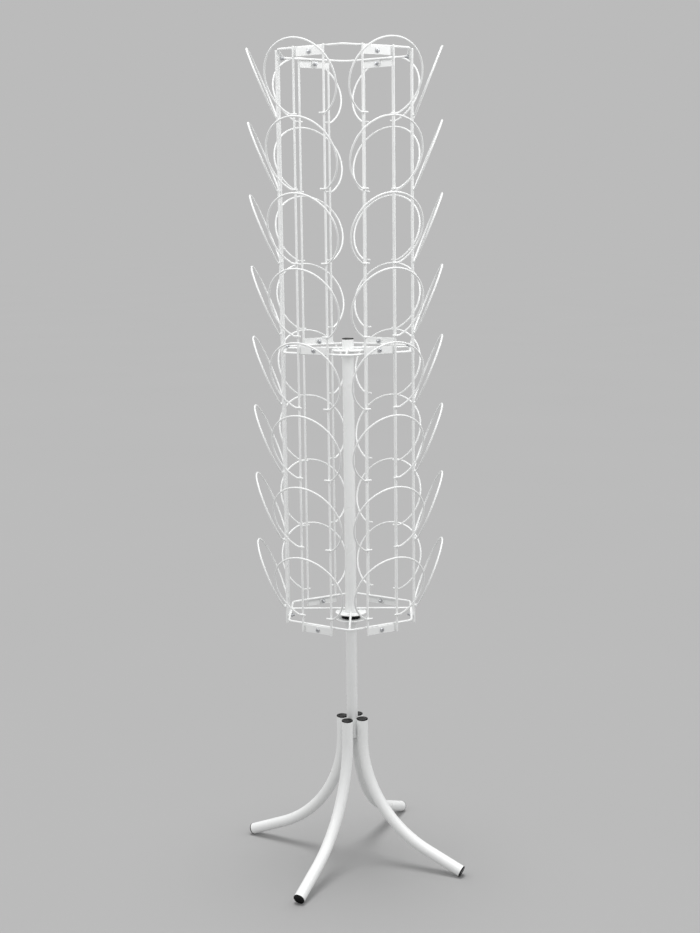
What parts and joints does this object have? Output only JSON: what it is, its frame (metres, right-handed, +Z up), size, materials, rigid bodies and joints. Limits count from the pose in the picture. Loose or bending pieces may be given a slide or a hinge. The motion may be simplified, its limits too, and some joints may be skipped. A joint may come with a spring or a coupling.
{
  "type": "rotating display rack",
  "caption": "Floor-standing spinner rack for caps: a hexagonal wire basket with columns of tilted loops turns on a tube pole that stands on a four-legged bent-tube base.",
  "frame": {"origin": "on the floor, on the axis of the pole", "axes": "+Z up along the pole; at rest faces 2 and 5 of the hexagon look along +X and -X, and its corners lie along +Y and -Y, where -Y is the corner nearest the picture's camera"},
  "size_m": [0.492, 0.492, 1.7715],
  "materials": {
    "white_powder_coat": "glossy white powder coat on steel tube, wire and strap",
    "black_polyethylene": "black moulded polyethylene tube plugs, satin",
    "black_acetal": "black moulded acetal bearing races, satin",
    "zinc_plated_steel": "zinc-plated pan-head screws and nuts",
    "bare_steel": "uncoated drawn steel tube, hidden in the pole",
    "bearing_steel": "polished bearing balls",
    "natural_nylon": "natural nylon ball cage"
  },
  "bodies": {
    "stand": {"foot_plug_1": "black_polyethylene", "foot_plug_2": "black_polyethylene", "foot_plug_3": "black_polyethylene", "foot_plug_4": "black_polyethylene", "leg_1": "white_powder_coat", "leg_2": "white_powder_coat", "leg_3": "white_powder_coat", "leg_4": "white_powder_coat", "leg_top_plug_1": "black_polyethylene", "leg_top_plug_2": "black_polyethylene", "leg_top_plug_3": "black_polyethylene", "leg_top_plug_4": "black_polyethylene", "centre_tube": "white_powder_coat", "joining_spigot": "bare_steel", "pole": "white_powder_coat", "pole_cap": "black_polyethylene", "support_collar": "white_powder_coat", "bearing_lower_race": "black_acetal"},
    "basket": {"bearing_upper_race": "black_acetal", "guide_sleeve": "white_powder_coat", "hub_disc_bottom": "white_powder_coat", "hub_disc_mid": "white_powder_coat", "panel_1_loops": "white_powder_coat", "panel_1_plates": "white_powder_coat", "panel_1_uprights": "white_powder_coat", "panel_2_loops": "white_powder_coat", "panel_2_plates": "white_powder_coat", "panel_2_uprights": "white_powder_coat", "panel_3_loops": "white_powder_coat", "panel_3_plates": "white_powder_coat", "panel_3_uprights": "white_powder_coat", "panel_4_loops": "white_powder_coat", "panel_4_plates": "white_powder_coat", "panel_4_uprights": "white_powder_coat", "panel_5_loops": "white_powder_coat", "panel_5_plates": "white_powder_coat", "panel_5_uprights": "white_powder_coat", "panel_6_loops": "white_powder_coat", "panel_6_plates": "white_powder_coat", "panel_6_uprights": "white_powder_coat", "panel_nuts": "zinc_plated_steel", "panel_screws": "zinc_plated_steel", "ring_bottom": "white_powder_coat", "ring_bottom_lugs": "white_powder_coat", "ring_mid": "white_powder_coat", "ring_mid_lugs": "white_powder_coat", "ring_top": "white_powder_coat", "ring_top_lugs": "white_powder_coat", "spokes_bottom": "white_powder_coat", "spokes_mid": "white_powder_coat"},
    "bearing_cage": {"ball_cage": "natural_nylon", "bearing_balls": "bearing_steel"}
  },
  "joints": [
    {"name": "basket_spin", "type": "hinge", "parent": "stand", "child": "basket", "pos_m": [0, 0, 0.5625], "axis": [0, 0, 1], "continuous": true},
    {"name": "cage_spin", "type": "hinge", "parent": "stand", "child": "bearing_cage", "pos_m": [0, 0, 0.5625], "axis": [0, 0, 1], "continuous": true}
  ],
  "couplings": [
    {"joint": "cage_spin", "follows": "basket_spin", "ratio": 0.5}
  ]
}
